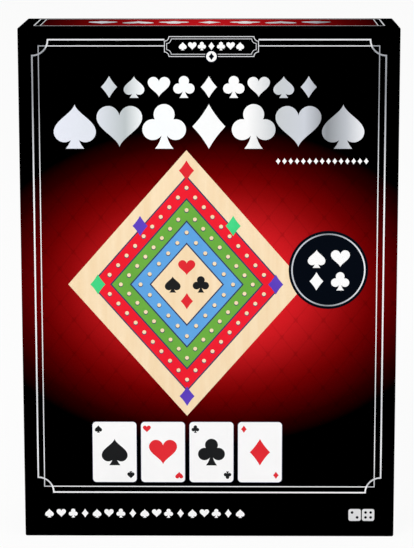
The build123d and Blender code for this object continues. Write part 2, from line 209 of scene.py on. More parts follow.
def skin(loops):
    """Closed mesh from loops of points in millimetres, its faces pointing outwards."""
    mesh = bmesh.new()
    rings = [[mesh.verts.new([part * MM for part in point]) for point in loop] for loop in loops]
    for first, second in zip(rings, rings[1:]):
        for i, corner in enumerate(first):
            mesh.faces.new((first[i - 1], corner, second[i], second[i - 1]))
    mesh.faces.new(rings[0])
    mesh.faces.new(rings[-1])
    bmesh.ops.recalc_face_normals(mesh, faces=mesh.faces)
    return mesh


def linked(name, data):
    """An object of the scene that carries this data."""
    made = bpy.data.objects.new(name, data)
    bpy.context.collection.objects.link(made)
    return made


def shaped(name, mesh):
    """An object from a bmesh, which is used up."""
    data = bpy.data.meshes.new(name)
    mesh.to_mesh(data)
    mesh.free()
    return linked(name, data)


def finished(name, mesh, body, materials, smooth=40.0):
    """A piece with its finishes that rides on a body."""
    piece = shaped(name, mesh)
    for material in materials:
        piece.data.materials.append(material)
    piece.data.shade_smooth()
    piece.data.set_sharp_from_angle(angle=radians(smooth))
    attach(piece, body)
    return piece


def arc(u, v, radius, start, end, count=12):
    """Points of an arc between two angles in degrees."""
    angles = [radians(start + (end - start) * i / max(count, 1)) for i in range(count + 1)]
    return [(u + radius * cos(angle), v + radius * sin(angle)) for angle in angles]


def rounded(u, v, width, height, corner, count=6):
    """A rectangle with rounded corners round a middle."""
    outline = []
    for turn, (right, top) in enumerate(QUADRANTS):
        centre = (u + right * (width / 2 - corner), v + top * (height / 2 - corner))
        outline += arc(*centre, corner, turn * 90, turn * 90 + 90, count)
    return outline


def wrap_round(name, node, way, body, surface, level=0.0):
    """The paper of one shell, swept round its wall and over its rim, which is towards way."""
    low, high = limits(node)
    closed, rim = (low.y, high.y)[::way]
    closed += way * level
    inner = PAPER + CHIPBOARD + PAPER
    turned, under = rim - way * TURN_IN, rim - way * PAPER
    profile = arc(FOLD_RADIUS, closed + way * FOLD_RADIUS, FOLD_RADIUS, -way * 90, -way * 180, 4)
    profile += arc(LIP_RADIUS, rim - way * LIP_RADIUS, LIP_RADIUS, way * 180, way * 90, 2)
    profile += arc(inner - LIP_RADIUS, rim - way * LIP_RADIUS, LIP_RADIUS, way * 90, 0, 2)
    profile += [(inner, turned), (inner - PAPER, turned), (inner - PAPER, under), (PAPER, under)]
    profile += [(PAPER, closed + way * FOLD_RADIUS), (FOLD_RADIUS, closed + way * PAPER)]
    wide, tall, middle = high.x - low.x, high.z - low.z, (high.z + low.z) / 2
    loops = []
    for inset, y in profile:
        set_in, corner = 2 * (inset + level), max(FOLD_RADIUS - inset, SHARPEST)
        outline = rounded(0, middle, wide - set_in, tall - set_in, corner, 4)
        loops.append([(x, y, z) for x, z in outline])
    piece = finished(name, skin(loops), body, [surface.material])
    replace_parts(piece, node)


def paper_finish(name, rough, specular, tucked=None):
    """A printed and laminated paper: faint fibre relief and slow variation in gloss.

    Where it wraps a shell, the flaps of its short sides show as a step in the long sides."""
    surface = Surface(name, Specular_IOR_Level=specular)
    fibre = surface.noise(2600.0, 3.0, 0.6, (1, 1.6, 0.7))
    slow = surface.noise(22.0)
    surface.set(Roughness=slow * 0.1 + rough - fibre * 0.06)
    relief = fibre + slow * 4.0
    if tucked:
        low, high = limits(tucked)
        x, _, z = surface.place()
        from_end = z.within(low.z, high.z)
        flap = from_end.ramp(FLAP_REACH + 0.2, FLAP_REACH - 0.2) * abs(x).above(high.x - 1.0)
        relief = relief + flap * 9.0
    surface.bump(relief, 0.00001)
    return surface


def worn(surface, colour, node, scuff_and_highlight):
    """Rubs the print along the box's folds, where handling takes the ink off first, and paints a pale
    highlight along the same folds.
    """
    spans = zip(surface.place(), *limits(node))
    from_x, from_y, from_z = (along.within(low, high).most(0.0) for along, low, high in spans)
    near_edge = from_x + from_y + from_z - from_x.most(from_y).most(from_z)
    patches = surface.noise(160.0, 4.0, 0.65)
    # The pale grey near the folds is partly rubbed wear and partly a painted highlight.
    rubbed_and_highlight = near_edge.ramp(0.9, 0.1) * patches.ramp(0.52, 0.72)
    surface.paint(rubbed_and_highlight * scuff_and_highlight, colour, "#6E6A66")


black_wrap = paper_finish("black_wrap", 0.5, 0.1, "base_wrap")
worn(black_wrap, "#0B0B0C", "base_wrap", 0.5)
wrap_round("base_paper", "base_wrap", -1, "base", black_wrap)


# ---------------- insert tray
# One sheet of black plastic, vacuum formed over a tool with wells for the board, the drawer's run
# and the cards. The sheet keeps a fine grain and a soft shine.
tray_plastic = Surface("tray_plastic", Specular_IOR_Level=0.3)
drawn = tray_plastic.mottle("#141416", "#1E1E21", 60.0, 3.0, 0.5, (1, 0.3, 1))
tray_plastic.set(Roughness=drawn * 0.14 + 0.34)
tray_plastic.bump(tray_plastic.noise(1800.0, 2.0), 0.00003, soft_edge=0.0012)
dress("insert_tray", tray_plastic)


# ---------------- board halves
# Two planks of pale hardwood that fold with their tracks outwards. Their long edges are rounded
# over, the holes are drilled with a small countersink, and the ends show the growth rings.
LANE_PITCH = 6.8
COLUMN_PITCH = 4.07 * LANE_PITCH
GROUP_LENGTH, FIRST_HOLE = 5.6 * LANE_PITCH, 0.8 * LANE_PITCH
FAR_END, NEAR_END = 4 * GROUP_LENGTH, -3 * GROUP_LENGTH
HOLE_RADIUS, COUNTERSINK, HOLE_DEPTH = 1.5, 1.75, 8.0
ROUND_OVER, BOARD_CORNER = 4.0, 8.0
MORTISE_GAP, MORTISE_DEPTH, TROUGH_EDGE, TROUGH_RADIUS = 0.1, 1.15, 1.2, 1.9
TONGUE, POCKET_GAP, POCKET_SPARE, GROOVE_GAP = 1.8, 0.2, 0.3, 0.4
GROOVE_LOW, GROOVE_HIGH = 3.0, 5.2
FRONT_LOW, FRONT_HIGH = limits("board_half_front")
BACK_LOW, BACK_HIGH = limits("board_half_back")
HALVES = (("front", FRONT_LOW, FRONT_HIGH, FRONT_LOW.y, -1), ("back", BACK_LOW, BACK_HIGH, BACK_HIGH.y, 1))
BOARD_X, BOARD_TOP = (FRONT_LOW.x + FRONT_HIGH.x) / 2, FRONT_HIGH.z
PIN_LOW, PIN_HIGH = limits("hinge_left_pin")
FOLD_Y, FOLD_Z = (PIN_LOW.y + PIN_HIGH.y) / 2, (PIN_LOW.z + PIN_HIGH.z) / 2


def plain_mesh(made, *tools):
    """The mesh of an object as it stands. It and its tools are then taken away."""
    seen = made.evaluated_get(bpy.context.evaluated_depsgraph_get())
    mesh = bpy.data.meshes.new_from_object(seen)
    made.modifiers.clear()
    for used in (made, *tools):
        bpy.data.objects.remove(used)
    return mesh


class Recipe(Nodes):
    """A Geometry Nodes tree with named inputs, and the plain mesh that it makes."""

    prefix = "GeometryNode"

    def __init__(self, name, **kinds):
        super().__init__(bpy.data.node_groups.new(name, "GeometryNodeTree"))
        self.tree.interface.new_socket("Geometry", in_out="OUTPUT", socket_type="NodeSocketGeometry")
        self.sockets = {}
        for label, kind in kinds.items():
            self.sockets[label] = self.tree.interface.new_socket(
                label.replace("_", " "), in_out="INPUT", socket_type="NodeSocket" + kind)
        given = self.tree.nodes.new("NodeGroupInput").outputs
        self.inputs = [Term(self, socket) for socket in given[:len(kinds)]]
        self.output = self.tree.nodes.new("NodeGroupOutput")

    def shape(self, pattern):
        return self.node("ObjectInfo", inputs={"Object": pattern}, output="Geometry")

    def finish(self, geometry, ink):
        whole = self.node("RealizeInstances", inputs={0: geometry})
        inked = self.node("SetMaterial", inputs={"Geometry": whole, "Material": ink})
        self.feed(self.output.inputs[0], inked)

    def make(self, name, **values):
        """Runs the tree with these inputs. The objects among them are tools, and are used up."""
        carrier = linked(name, bpy.data.meshes.new(name))
        modifier = carrier.modifiers.new(name, "NODES")
        modifier.node_group = self.tree
        for label, value in values.items():
            modifier[self.sockets[label].identifier] = value
        tools = [value for value in values.values() if isinstance(value, bpy.types.Object)]
        return plain_mesh(carrier, *tools)


def lane_holes(lane):
    """Hole centres of one lane, 0 the outermost, as (across, along) from the middle of the fold."""
    offset = (1 - lane) * LANE_PITCH
    steps = [FIRST_HOLE + index * LANE_PITCH for index in range(5)]
    reach, near_reach = COLUMN_PITCH + offset, COLUMN_PITCH / 2 + offset
    holes = []
    for across in (-reach, reach, -offset):
        holes += [(across, NEAR_END + group * GROUP_LENGTH + step) for group in range(7) for step in steps]
    for step in steps:
        for quarter in range(2):
            angle = (quarter + step / GROUP_LENGTH) * QUARTER
            holes.append((-reach * cos(angle), FAR_END + reach * sin(angle)))
        angle = step / GROUP_LENGTH * pi
        across = COLUMN_PITCH / 2 + near_reach * cos(angle)
        holes.append((across, NEAR_END - near_reach * sin(angle)))
    return holes + [(-reach, NEAR_END - FIRST_HOLE - index * LANE_PITCH) for index in range(2)]


def disc(u, v, radius, count=32):
    return arc(u, v, radius, 0, 360, count)[:-1]


def lathe(rings, sides=24):
    """Turned solid along +Z from (rise, radius) rings."""
    return skin([[(x, y, rise) for x, y in disc(0, 0, radius, sides)] for rise, radius in rings])


def block(mesh, x, y, z):
    """Adds a block between pairs of limits."""
    size = Vector([high - low for low, high in (x, y, z)]) * MM
    centre = Vector([high + low for low, high in (x, y, z)]) / 2 * MM
    bmesh.ops.create_cube(mesh, size=1.0, matrix=Matrix.Translation(centre) @ Matrix.Diagonal((*size, 1)))
    return mesh


def spots(places):
    mesh = bmesh.new()
    for place in places:
        mesh.verts.new(Vector(place) * MM)
    return shaped("spots", mesh)


repeated = Recipe("repeated_tool", Places="Object", Pattern="Object", Turn="Vector", Finish="Material")
places, pattern, turn, finish = repeated.inputs
laid = {"Points": repeated.shape(places), "Instance": repeated.shape(pattern), "Rotation": turn}
repeated.finish(repeated.node("InstanceOnPoints", inputs=laid), finish)


def carved(solid, *tools):
    """The mesh of a solid with the tools cut away."""
    for tool in tools:
        cut = solid.modifiers.new(tool.name, "BOOLEAN")
        cut.object, cut.operation, cut.solver = tool, "DIFFERENCE", "EXACT"
    return plain_mesh(solid, *tools)


def plank(low, high, track_y, way):
    """Plank with rounded lower corners, its edge rounded over towards the track face."""
    profile = arc(ROUND_OVER, track_y - way * ROUND_OVER, ROUND_OVER, way * 180, way * 90, 6)
    loops = []
    for inset, y in [(0.0, high.y if way < 0 else low.y)] + profile:
        outline = [(high.x - inset, high.z), (low.x + inset, high.z)]
        for x, start in ((low.x + BOARD_CORNER, 180), (high.x - BOARD_CORNER, 270)):
            outline += arc(x, low.z + BOARD_CORNER, BOARD_CORNER - inset, start, start + 90, 8)
        loops.append([(x, y, z) for x, z in outline])
    return shaped("plank", skin(loops))


def hinge_rooms(way):
    """Mortises for both leaves of one half, with a trough round the knuckles."""
    mortises, rods = bmesh.new(), []
    upright = Matrix.Translation(Vector((0, FOLD_Y, FOLD_Z)) * MM) @ Matrix.Rotation(QUARTER, 4, "Y")
    for side in ("left", "right"):
        low, high = limits(f"hinge_{side}_leaf_back")
        x = (low.x - MORTISE_GAP, high.x + MORTISE_GAP)
        y = sorted((FOLD_Y - way, FOLD_Y + way * MORTISE_DEPTH))
        block(mortises, x, y, (low.z - MORTISE_GAP, FOLD_Z - TROUGH_EDGE))
        rod = lathe([(end, TROUGH_RADIUS) for end in x], 32)
        bmesh.ops.transform(rod, matrix=upright, verts=rod.verts)
        rods.append(shaped("trough", rod))
    return [shaped("mortises", mortises)] + rods


def wood_finish(name, pale, middle, dark, heart):
    """Soft growth rings round a heart beside the plank, with fine pores along the grain."""
    surface = Surface(name, Specular_IOR_Level=0.35)
    x, y, _ = surface.place()
    wander = surface.noise(18.0, 4.0, 0.55, (1, 1, 0.12))
    ring = ((x - heart[0]) ** 2.0 + (y - heart[1]) ** 2.0) ** 0.5 + wander * 26.0
    late = (ring / 7.3).fraction()
    late = late.ramp(0.2, 0.95) * late.ramp(1.0, 0.95)
    strength = surface.noise(34.0, 2.0, 0.5, (1, 1, 0.2)).ramp(0.3, 0.7, 0.08, 0.42)
    pores = surface.noise(1700.0, 3.0, 0.6, (1, 1, 0.035))
    broad = surface.noise(42.0, 3.0, 0.5, (1, 1, 0.08))
    colour = surface.mix(broad.ramp(0.3, 0.7), pale, middle)
    colour = surface.mix(late * strength, colour, dark)
    surface.paint(pores.ramp(0.48, 0.75) * 0.3, colour, dark)
    surface.set(Roughness=pores * 0.16 + 0.42 - late * 0.06)
    surface.bump(pores - late * 0.3, 0.00003, soft_edge=0.0006)
    return surface


board_wood = wood_finish("board_wood", "#ECD6AE", "#E1C493", "#C69E66", (-150.0, -95.0))
all_holes = [hole for lane in range(3) for hole in lane_holes(lane)] + [(0, FAR_END + FIRST_HOLE)]
bore_rings = ((-HOLE_DEPTH, HOLE_RADIUS), (-0.3, HOLE_RADIUS), (0.35, COUNTERSINK + 0.3))
for half, low, high, track_y, way in HALVES:
    holes = [(BOARD_X - u, track_y, BOARD_TOP - abs(v)) for u, v in all_holes if (v > 0) == (way < 0)]
    drilled = repeated.make(
        "holes", Places=spots(holes), Pattern=shaped("bore", lathe(bore_rings, 16)),
        Turn=(-way * QUARTER, 0, 0), Finish=board_wood.material)
    tools = [linked("drill", drilled)] + hinge_rooms(way)
    if half == "back":
        drawer_low, drawer_high = limits("peg_drawer")
        z = (low.z - 1, drawer_high.z + POCKET_SPARE)
        for inset, y in (
            (TONGUE - POCKET_GAP, (FOLD_Y - 1, drawer_high.y + POCKET_SPARE)),
            (-GROOVE_GAP, (drawer_low.y + GROOVE_LOW, drawer_low.y + GROOVE_HIGH)),
        ):
            x = (drawer_low.x + inset, drawer_high.x - inset)
            tools.append(shaped("drawer_room", block(bmesh.new(), x, y, z)))
    mesh = bmesh.new()
    mesh.from_mesh(carved(plank(low, high, track_y, way), *tools))
    for face in mesh.faces:
        face.material_index = 0
    piece = finished(f"board_{half}", mesh, f"board_{half}", [board_wood.material], 30.0)
    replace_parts(piece, f"board_half_{half}")


# ---------------- track print
# The three lanes are screen printed on the wood before it is drilled, with thin dark rules
# between them and across them after every fifth hole, and a count of holes beside most of those.
LAYER = 0.02
LINE, LINE_LAYER, NUMBER_HEIGHT, NUMBER_ROOM = 0.35, 2, 4.2, 2.6
FINISH_RING, RING_LINE, GAME_HOLES = 3.2, 0.5, 80
TRACK_INKS = {
    "track_red": ("#D91C2B", "#EA3340"), "track_green": ("#58983A", "#72AE4C"),
    "track_blue": ("#4F90D0", "#6BABE4"), "track_line": ("#262C48", "#343B5C"),
}


class PrintedFace:
    """A flat face with printed shapes laid on it in layers, each ink a material of its own."""

    def __init__(self, mesh, inks, origin, along, up):
        self.mesh, self.inks, self.origin = mesh, list(inks), Vector(origin)
        self.along, self.up = Vector(along), Vector(up)
        self.out = self.along.cross(self.up)

    def place(self, u, v, layer):
        return (self.origin + self.along * u + self.up * v + self.out * (layer * LAYER)) * MM

    def fill(self, ink, layer, outline):
        turns = zip(outline, outline[1:] + outline[:1])
        if sum(u0 * v1 - u1 * v0 for (u0, v0), (u1, v1) in turns) < 0:
            outline = outline[::-1]
        face = self.mesh.faces.new([self.mesh.verts.new(self.place(u, v, layer)) for u, v in outline])
        face.material_index = self.inks.index(ink)

    def rule(self, ink, layer, points, width, closed=False):
        """A line of even width through the points, mitred at its corners."""
        points = [Vector(point) for point in points]
        last = len(points) - 1
        left, right = [], []
        for i, point in enumerate(points):
            before = point - points[i - 1] if i or closed else points[1] - point
            after = points[(i + 1) % len(points)] - point if i < last or closed else before
            before, after = before.normalized(), after.normalized()
            middle = (before + after).normalized()
            side = Vector((-middle.y, middle.x)) * (width / 2 / max(middle.dot(after), 0.3))
            left.append(point + side)
            right.append(point - side)
        for i in range(0 if closed else 1, len(points)):
            self.fill(ink, layer, [tuple(q) for q in (right[i - 1], right[i], left[i], left[i - 1])])


def inside(outline, u, v):
    """Whether a point lies within a closed outline."""
    odd = False
    for (u0, v0), (u1, v1) in zip(outline, outline[1:] + outline[:1]):
        if (v0 > v) != (v1 > v) and u < u0 + (v - v0) * (u1 - u0) / (v1 - v0):
            odd = not odd
    return odd


lane_fill = Recipe(
    "lane_fill", Outline="Object", Bore_Radius="Float", Turn="Vector", Lift="Vector", Ink="Material")
outline, bore_radius, turn, lift, ink = lane_fill.inputs
drawn = lane_fill.shape(outline)
edges = lane_fill.node("MeshToCurve", inputs={0: drawn})
neighbours = lane_fill.node("InputMeshVertexNeighbors", output="Vertex Count")
equal = {"data_type": "INT", "operation": "EQUAL"}
is_hole = lane_fill.node("FunctionNodeCompare", equal, {2: neighbours, 3: 0})
ring = lane_fill.node("CurvePrimitiveCircle", inputs={"Resolution": 16, "Radius": bore_radius})
rings = lane_fill.node("InstanceOnPoints", inputs={"Points": drawn, "Selection": is_hole, "Instance": ring})
rings = lane_fill.node("RealizeInstances", inputs={0: rings})
filled = lane_fill.node("FillCurve", inputs={0: lane_fill.node("JoinGeometry", inputs={0: [edges, rings]})})
stood = lane_fill.node("Transform", inputs={"Geometry": filled, "Rotation": turn, "Translation": lift})
lane_fill.finish(stood, ink)


def joined(name, meshes, body):
    """One piece from several plain meshes, each keeping its own material."""
    mesh = bmesh.new()
    materials = []
    for part in meshes:
        old = len(mesh.faces)
        mesh.from_mesh(part)
        mesh.faces.ensure_lookup_table()
        for face in mesh.faces[old:]:
            material = part.materials[face.material_index]
            if material not in materials:
                materials.append(material)
            face.material_index = materials.index(material)
    return finished(name, mesh, body, materials)


track_inks = {}
for name, colours in TRACK_INKS.items():
    surface = Surface(name, Specular_IOR_Level=0.3)
    streak = surface.mottle(*colours, 700.0, 3.0, 0.6, (1, 1, 0.06))
    surface.set(Roughness=streak * 0.12 + 0.4)
    surface.bump(streak, 0.00002)
    track_inks[name] = surface.material


def lane_outlines(lane, is_front):
    """Edges of one lane on one half, as closed outlines of (across, along) points."""
    offset, wide = (1 - lane) * LANE_PITCH, LANE_PITCH / 2
    outer, near, middle = COLUMN_PITCH + offset, COLUMN_PITCH / 2 + offset, COLUMN_PITCH / 2

    def strip(u, end):
        return [(u - wide, 0), (u - wide, end), (u + wide, end), (u + wide, 0)]

    if is_front:
        arch = [(-outer - wide, 0)] + arc(0, FAR_END, outer + wide, 180, 0, 32) + [(outer + wide, 0)]
        arch += [(outer - wide, 0)] + arc(0, FAR_END, outer - wide, 0, 180, 32) + [(-outer + wide, 0)]
        return [arch, strip(-offset, FAR_END)]
    bend = [(outer + wide, 0)] + arc(middle, NEAR_END, near + wide, 0, -180, 24) + [(-offset - wide, 0)]
    bend += [(-offset + wide, 0)] + arc(middle, NEAR_END, near - wide, -180, 0, 24) + [(outer - wide, 0)]
    return [strip(-outer, NEAR_END - FIRST_HOLE - 1.5 * LANE_PITCH), bend]


def number_mesh(text, place, face):
    """A plain number as a flat mesh lying on a face, its middle at the place."""
    curve = bpy.data.curves.new("number", "FONT")
    curve.body, curve.size, curve.align_x, curve.align_y = text, NUMBER_HEIGHT, "CENTER", "CENTER"
    mesh = plain_mesh(linked("number", curve))
    for vertex in mesh.vertices:
        vertex.co = face.place(vertex.co.x + place[0], vertex.co.y + place[1], LINE_LAYER)
    mesh.materials.clear()
    mesh.materials.append(track_inks["track_line"])
    return mesh


for half, low, high, track_y, way in HALVES:
    lines, parts = bmesh.new(), []
    face = PrintedFace(lines, TRACK_INKS, (BOARD_X, track_y, BOARD_TOP), (-1, 0, 0), (0, 0, way))
    for lane, ink in enumerate(face.inks[:3]):
        for outline in lane_outlines(lane, way < 0):
            drilled = [hole for hole in lane_holes(lane) if inside(outline, *hole)]
            mesh, points = bmesh.new(), []
            for u, v in outline + drilled:
                laid_down = Vector((BOARD_X - u, -way * (BOARD_TOP - abs(v)), 0))
                points.append(mesh.verts.new(laid_down * MM))
            corners = points[:len(outline)]
            for i, corner in enumerate(corners):
                mesh.edges.new((corners[i - 1], corner))
            parts.append(lane_fill.make(
                "lane", Outline=shaped("lane", mesh), Bore_Radius=COUNTERSINK * MM,
                Turn=(-way * QUARTER, 0, 0), Lift=(0, (track_y + way * LAYER) * MM, 0), Ink=track_inks[ink]))
            face.rule("track_line", LINE_LAYER, outline, LINE, closed=True)
    edge = 1.5 * LANE_PITCH
    groups = range(1, 5) if way < 0 else range(-3, 0)
    for group in groups:
        v = group * GROUP_LENGTH
        for u in (-COLUMN_PITCH, COLUMN_PITCH, 0):
            face.rule("track_line", LINE_LAYER, [(u - edge, v), (u + edge, v)], LINE)
    if way < 0:
        top = FAR_END + COLUMN_PITCH
        face.rule("track_line", LINE_LAYER, [(0, top - edge), (0, top + edge)], LINE)
        ring = disc(0, FAR_END + FIRST_HOLE, FINISH_RING)
        face.rule("track_line", LINE_LAYER, ring, RING_LINE, closed=True)
    rules = bpy.data.meshes.new("rules")
    lines.to_mesh(rules)
    lines.free()
    for material in track_inks.values():
        rules.materials.append(material)
    parts.append(rules)
    for group in groups:
        passed = 5 * (group + 3)
        for side, count in ((-1, passed), (1, GAME_HOLES - passed)):
            if count:
                place = (side * (COLUMN_PITCH + edge + NUMBER_ROOM), group * GROUP_LENGTH)
                parts.append(number_mesh(str(count), place, face))
    joined(f"track_{half}", parts, f"board_{half}")


# ---------------- hinges
# Two brass butt hinges, brushed along their leaves, each leaf held by two slotted screws with
# slightly raised heads.
SCREW_RINGS = ((-0.12, 0.4), (-0.1, 0.85), (-0.03, 1.25), (0.08, 1.47), (0.9, 0.75), (5.2, 0.7), (6.0, 0.15))
SCREW_INSET, SCREW_SPACING = 1.5, 12.0
SLOT_HALF_WIDTH, SLOT_DEPTH, SLOT_REACH = 0.22, 0.35, 2
brass = Surface("hinge_brass", Metallic=1.0)
brushed = brass.noise(2600.0, 3.0, 0.5, (0.06, 1, 1))
brass.mottle("#DDB963", "#C49A48", 260.0, 4.0)
brass.set(Roughness=brushed * 0.22 + 0.2)
brass.bump(brushed, 0.00001, soft_edge=0.00025)
for side in ("left", "right"):
    for part in ("leaf_back", "leaf_front", "pin"):
        dress(f"hinge_{side}_{part}", brass)

screw_brass = Surface("screw_brass", Metallic=1.0)
screw_brass.set(Roughness=screw_brass.mottle("#EAD9A0", "#D2B56C", 900.0, 2.0) * 0.12 + 0.2)
for half, way in (("front", -1), ("back", 1)):
    low, high = limits(f"hinge_screws_{half}")
    face_y = high.y if way < 0 else low.y
    slot = block(
        bmesh.new(), (-SLOT_REACH, SLOT_REACH), (-SLOT_HALF_WIDTH, SLOT_HALF_WIDTH), (-1, SLOT_DEPTH))
    screw = linked("screw", carved(shaped("screw", lathe(SCREW_RINGS)), shaped("slot", slot)))
    across = [low.x + SCREW_INSET, low.x + SCREW_INSET + SCREW_SPACING]
    across += [high.x - SCREW_INSET - SCREW_SPACING, high.x - SCREW_INSET]
    screws = repeated.make(
        "screws", Places=spots([(x, face_y, (low.z + high.z) / 2) for x in across]), Pattern=screw,
        Turn=(-way * QUARTER, 0, 0.0), Finish=screw_brass.material)
    piece = joined(f"screws_{half}", [screws], f"board_{half}")
    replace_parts(piece, f"hinge_screws_{half}")


# ---------------- peg drawer and pegs
# A hardwood drawer that runs on two tongues, with a bay for each colour. The pegs are moulded in
# hard glossy plastic, with a collar and a drop-shaped head.
dress("peg_drawer", wood_finish("drawer_wood", "#E6CCA0", "#DAB986", "#B98F58", (60.0, 90.0)))

PEG_INSET = 2.55
PEG_RINGS = (
    (0.0, 0.7), (0.25, 1.1), (10.0, 1.4), (10.25, 1.95), (10.75, 2.2), (12.25, 2.2), (12.8, 1.9),
    (13.6, 1.42), (14.6, 1.28), (16.0, 1.32), (17.2, 1.7), (18.4, 2.25), (19.6, 2.52), (20.8, 2.45),
    (22.2, 2.0), (23.6, 1.35), (24.6, 0.72), (25.0, 0.25),
)
PEG_COLOURS = {
    "red": ("#D8262F", "#B01820"), "green": ("#35C274", "#1F9A56"), "purple": ("#5A3FB5", "#432A96"),
}
for colour, shades in PEG_COLOURS.items():
    plastic = Surface(f"peg_{colour}", Coat_Weight=0.5, Coat_Roughness=0.08)
    plastic.set(Roughness=plastic.mottle(*shades, 320.0, 3.0, 0.5, (1, 1, 0.3)) * 0.12 + 0.22)
    low, high = limits(f"pegs_{colour}")
    places = [(x, (low.y + high.y) / 2, low.z) for x in (low.x + PEG_INSET, high.x - PEG_INSET)]
    pegs = repeated.make(
        "pegs", Places=spots(places), Pattern=shaped("peg", lathe(PEG_RINGS, 28)), Turn=(0.0, 0.0, 0.0),
        Finish=plastic.material)
    piece = joined(f"pegs_{colour}_turned", [pegs], "drawer")
    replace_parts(piece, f"pegs_{colour}")


# ---------------- playing cards
# Fifty-four coated cards in a stack that isn't quite square, backs to the front, held by a paper
# band. The back is a plain red trellis inside a white border.
CARD_COUNT, CARD_SLIP, CARD_CORNER = 54, 0.12, 3.5
CARD_BEVEL, CARD_FRONT_GAP, CARD_BACK_GAP, BEVEL_RUN = 0.03, 0.04, 0.03, 30
BACK_BORDER, BACK_RULE, TRELLIS = 9.0, 12.0, 3.2
PIP_PLACE, PIP_HEIGHT, INDEX_PLACE, INDEX_HEIGHT = (13.0, 26.0), 12.0, (26.0, 37.5), 5.0
CARDS_LOW, CARDS_HIGH = limits("playing_cards")
CARDS_X, CARDS_Z = (CARDS_LOW.x + CARDS_HIGH.x) / 2, (CARDS_LOW.z + CARDS_HIGH.z) / 2
THICK = (CARDS_HIGH.y - CARDS_LOW.y) / CARD_COUNT
WIDE, TALL = CARDS_HIGH.x - CARDS_LOW.x - 2 * CARD_SLIP, CARDS_HIGH.z - CARDS_LOW.z - 2 * CARD_SLIP

card_stock = Surface("card_stock", Specular_IOR_Level=0.4)
_, y, _ = card_stock.place()
card_tone = card_stock.noise(900.0, 2.0)
# The edge of each card darkens towards its faces: painted shade in the narrow gaps between the cards.
painted_gap_shade = abs(((y - CARDS_LOW.y) * (1 / THICK)).fraction() - 0.5).ramp(0.36, 0.48)
card_white = card_stock.mix(card_tone, "#E8E6DF", "#F0EEE8")
card_stock.paint(painted_gap_shade * 0.55, card_white, "#8F8B82")
card_stock.set(Roughness=card_tone * 0.1 + 0.34)


def heart_outline(flip=1):
    """A heart one unit high and centred, or with flip -1 the blade of a spade."""
    outline = []
    for t in (2 * pi * (i + 0.5) / 48 for i in range(48)):
        rise = 13 * cos(t) - 5 * cos(2 * t) - 2 * cos(3 * t) - cos(4 * t)
        outline.append((16 * sin(t) ** 3 / 29, flip * (rise + 2.5) / 29))
    return outline


def club_outline():
    """Three overlapping lobes, as one outline round their middle."""
    lobes = ((0.0, 0.27), (-0.255, -0.07), (0.255, -0.07))
    radius, middle, neck = 0.235, 0.04, 0.08
    outline = []
    for across, rise in disc(0, 0, 1, 72):
        reach = neck
        for u, v in lobes:
            near = u * across + (v - middle) * rise
            room = near * near - (u * u + (v - middle) ** 2) + radius * radius
            if room > 0:
                reach = max(reach, near + sqrt(room))
        outline.append((across * reach, middle + rise * reach))
    return outline


def stem_outline():
    """The flared foot of a spade or a club."""
    flare = [(0.045 + 0.16 * step**2.6, -0.5 * step) for step in (i / 6 for i in range(7))]
    return flare + [(-u, v) for u, v in flare[::-1]]


DIAMOND = ((1, 0), (0, 1), (-1, 0), (0, -1))


def diamond_outline():
    """Four slightly hollow sides."""
    outline = []
    for (a, b), (c, d) in zip(DIAMOND, DIAMOND[1:] + DIAMOND[:1]):
        for share in (step / 6 for step in range(6)):
            hollow = 1 - 0.28 * share * (1 - share)
            outline.append((0.37 * hollow * (a + (c - a) * share), 0.5 * hollow * (b + (d - b) * share)))
    return outline


SUITS = {
    "spade": [[(0.86 * u, 0.86 * v + 0.07) for u, v in heart_outline(-1)], stem_outline()],
    "heart": [[(0.93 * u, 0.93 * v) for u, v in heart_outline()]],
    "club": [club_outline(), stem_outline()],
    "diamond": [diamond_outline()],
}
FOUR = list(SUITS)
SEVEN = FOUR + FOUR[2::-1]


def suit(face, name, ink, layer, u, v, height, turned=1):
    """One suit sign. A foot lies half a layer lower than its head, which covers its top."""
    for part, outline in enumerate(SUITS[name]):
        points = [(u + turned * height * a, v + turned * height * b) for a, b in outline]
        face.fill(ink, layer - 0.5 * part, points)


def suit_row(face, names, ink, layer, start, end, v, height):
    for i, name in enumerate(names):
        suit(face, name, ink, layer, start + (end - start) * i / (len(names) - 1), v, height)


stack = Recipe(
    "card_stack", Cards="Int", Pitch="Vector", Slip="Vector", Seed="Int", Card="Object", Stock="Material")
count, pitch, slip, seed, card, stock = stack.inputs
column = stack.node("MeshLine", inputs={"Count": count, "Start Location": (0, 0, 0), "Offset": pitch})
low_slip = stack.node("ShaderNodeVectorMath", {"operation": "SCALE"}, {0: slip, "Scale": -1.0})
spread = {0: low_slip, 1: slip, "Seed": seed}
moved = stack.node("FunctionNodeRandomValue", {"data_type": "FLOAT_VECTOR"}, spread)
shuffled = stack.node("SetPosition", inputs={"Geometry": column, "Offset": moved})
piled = stack.node("InstanceOnPoints", inputs={"Points": shuffled, "Instance": stack.shape(card)})
stack.finish(piled, stock)

loops = []
for y, bevel in ((CARD_FRONT_GAP, CARD_BEVEL), (0.5 * THICK, 0.0), (THICK - CARD_BACK_GAP, CARD_BEVEL)):
    shrink = 1 - bevel / BEVEL_RUN
    outline = rounded(0, 0, WIDE, TALL, CARD_CORNER)
    loops.append([(CARDS_X + u * shrink, CARDS_LOW.y + y, CARDS_Z + v * shrink) for u, v in outline])
pile = stack.make(
    "cards", Cards=CARD_COUNT, Pitch=(0, THICK * MM, 0), Slip=(CARD_SLIP * MM, 0, CARD_SLIP * MM), Seed=7,
    Card=shaped("card", skin(loops)), Stock=card_stock.material)
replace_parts(joined("card_pile", [pile], "deck"), "playing_cards")

